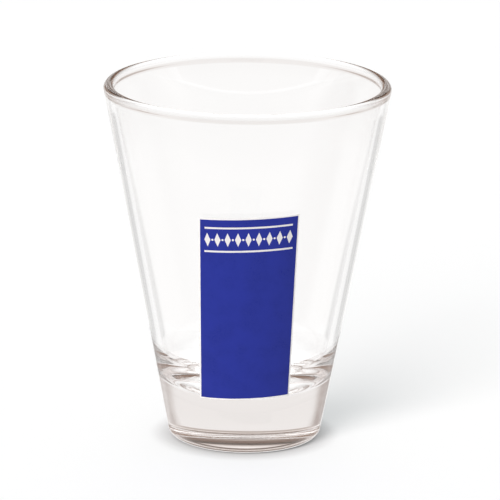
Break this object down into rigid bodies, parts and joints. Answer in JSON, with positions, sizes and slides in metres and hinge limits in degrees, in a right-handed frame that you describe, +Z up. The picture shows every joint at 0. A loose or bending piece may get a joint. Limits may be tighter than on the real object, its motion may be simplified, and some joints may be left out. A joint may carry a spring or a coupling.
{
  "type": "drinking glass",
  "caption": "Tapered clear drinking glass with a thick solid base and a fired blue enamel panel, edged in white, on its front.",
  "frame": {"origin": "centre of the contact ring, on the surface that the glass stands on", "axes": "+Z up along the glass's axis, towards the rim; the enamel panel faces -Y; +X is to its right"},
  "size_m": [0.06, 0.06, 0.076],
  "materials": {
    "clear_glass": "clear pressed soda-lime glass, fire-polished, with a faint warm tint where it is thick",
    "white_enamel": "opaque white glass enamel, screen-printed and fired, gloss",
    "blue_enamel": "opaque royal blue glass enamel, screen-printed and fired, soft gloss"
  },
  "bodies": {
    "root": {"glass_body": "clear_glass", "white_enamel_print": "white_enamel", "blue_enamel_print": "blue_enamel"}
  },
  "joints": []
}
